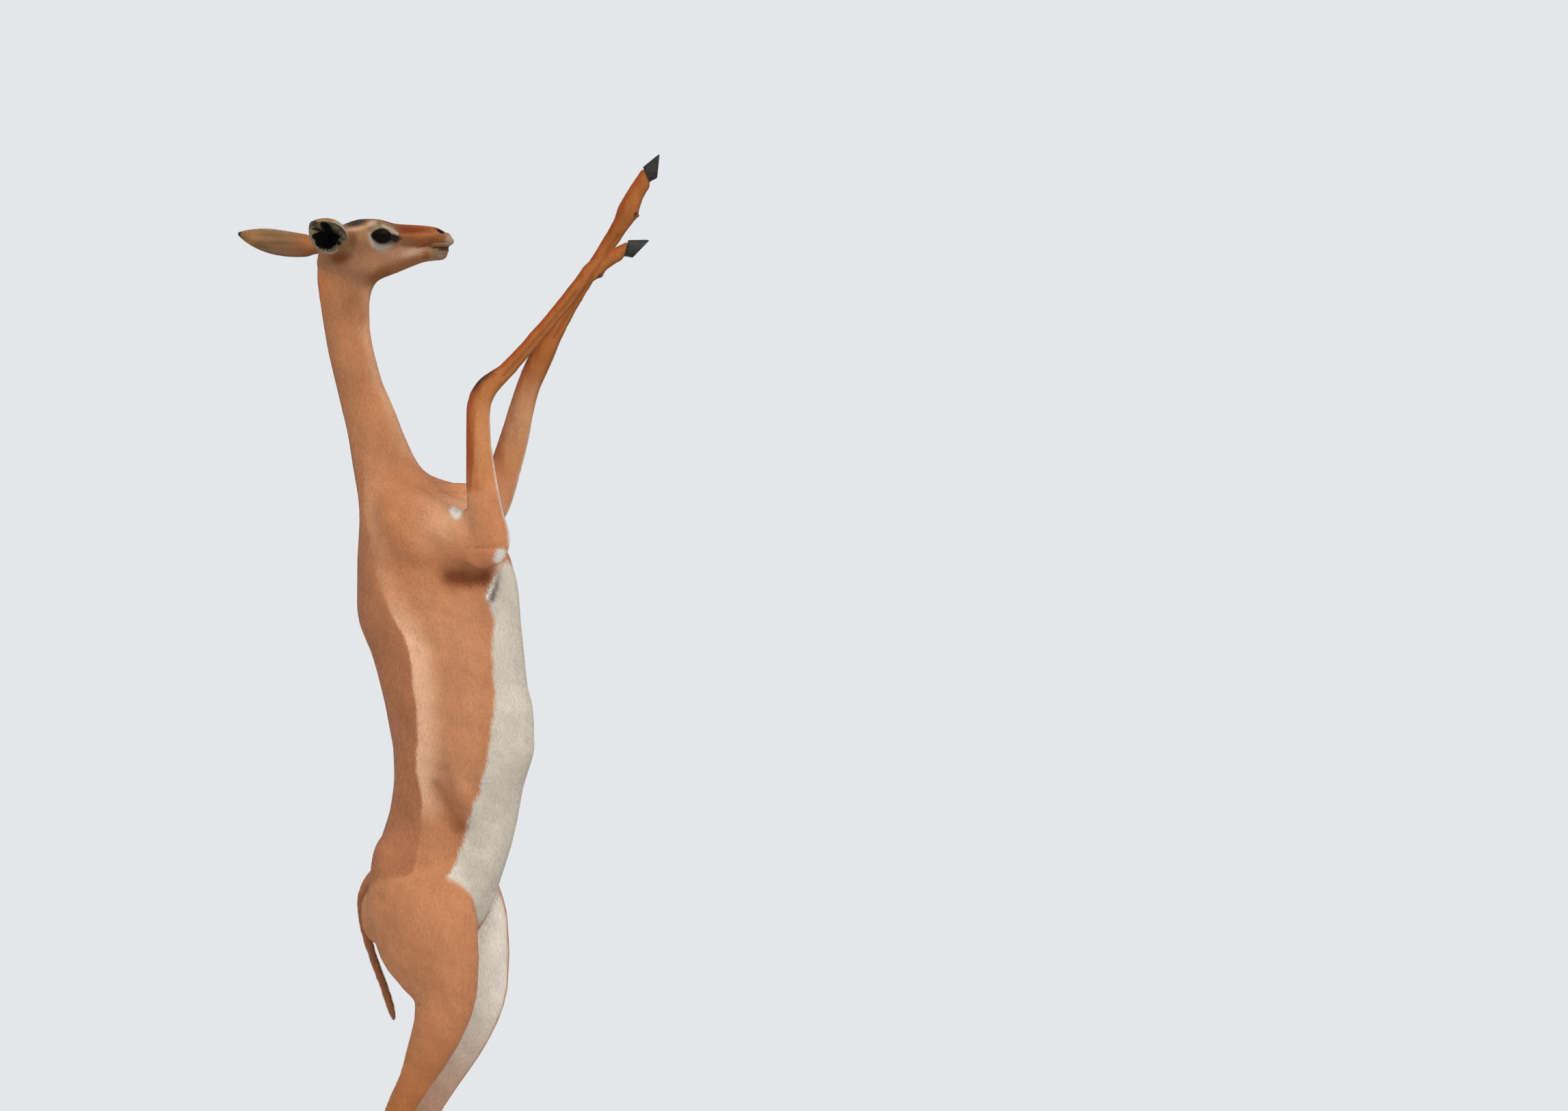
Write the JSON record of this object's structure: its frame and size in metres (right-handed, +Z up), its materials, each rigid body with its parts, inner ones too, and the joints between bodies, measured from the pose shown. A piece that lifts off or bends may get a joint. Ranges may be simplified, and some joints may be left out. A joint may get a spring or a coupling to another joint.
{
  "type": "gerenuk",
  "caption": "Hornless female gerenuk standing upright on her hind legs, neck stretched and forelegs raised to browse.",
  "frame": {"origin": "middle of the object's box, on the floor that the hind hooves stand on", "axes": "+Z up along the upright body, +X the way the head and forelegs point, +Y towards the animal's left"},
  "size_m": [0.7124, 0.28, 1.998],
  "materials": {
    "skin": "short flat fur, rufous with a darker back and a white belly",
    "ear": "thin furred ear, dark inside with white hairs",
    "eye": "wet, glossy dark brown",
    "hoof": "dark grey horn"
  },
  "bodies": {
    "root": {"ear_left": "ear", "ear_right": "ear", "eye_left": "eye", "eye_right": "eye", "fore_cannon_left": "skin", "fore_cannon_right": "skin", "fore_hoof_left_left_claw": "hoof", "fore_hoof_left_right_claw": "hoof", "fore_hoof_right_left_claw": "hoof", "fore_hoof_right_right_claw": "hoof", "fore_pastern_left": "skin", "fore_pastern_right": "skin", "forearm_left": "skin", "forearm_right": "skin", "gaskin_left": "skin", "gaskin_right": "skin", "head": "skin", "hind_cannon_left": "skin", "hind_cannon_right": "skin", "hind_hoof_left_left_claw": "hoof", "hind_hoof_left_right_claw": "hoof", "hind_hoof_right_left_claw": "hoof", "hind_hoof_right_right_claw": "hoof", "hind_pastern_left": "skin", "hind_pastern_right": "skin", "neck": "skin", "tail": "skin", "thigh_left": "skin", "thigh_right": "skin", "torso": "skin"}
  },
  "joints": []
}
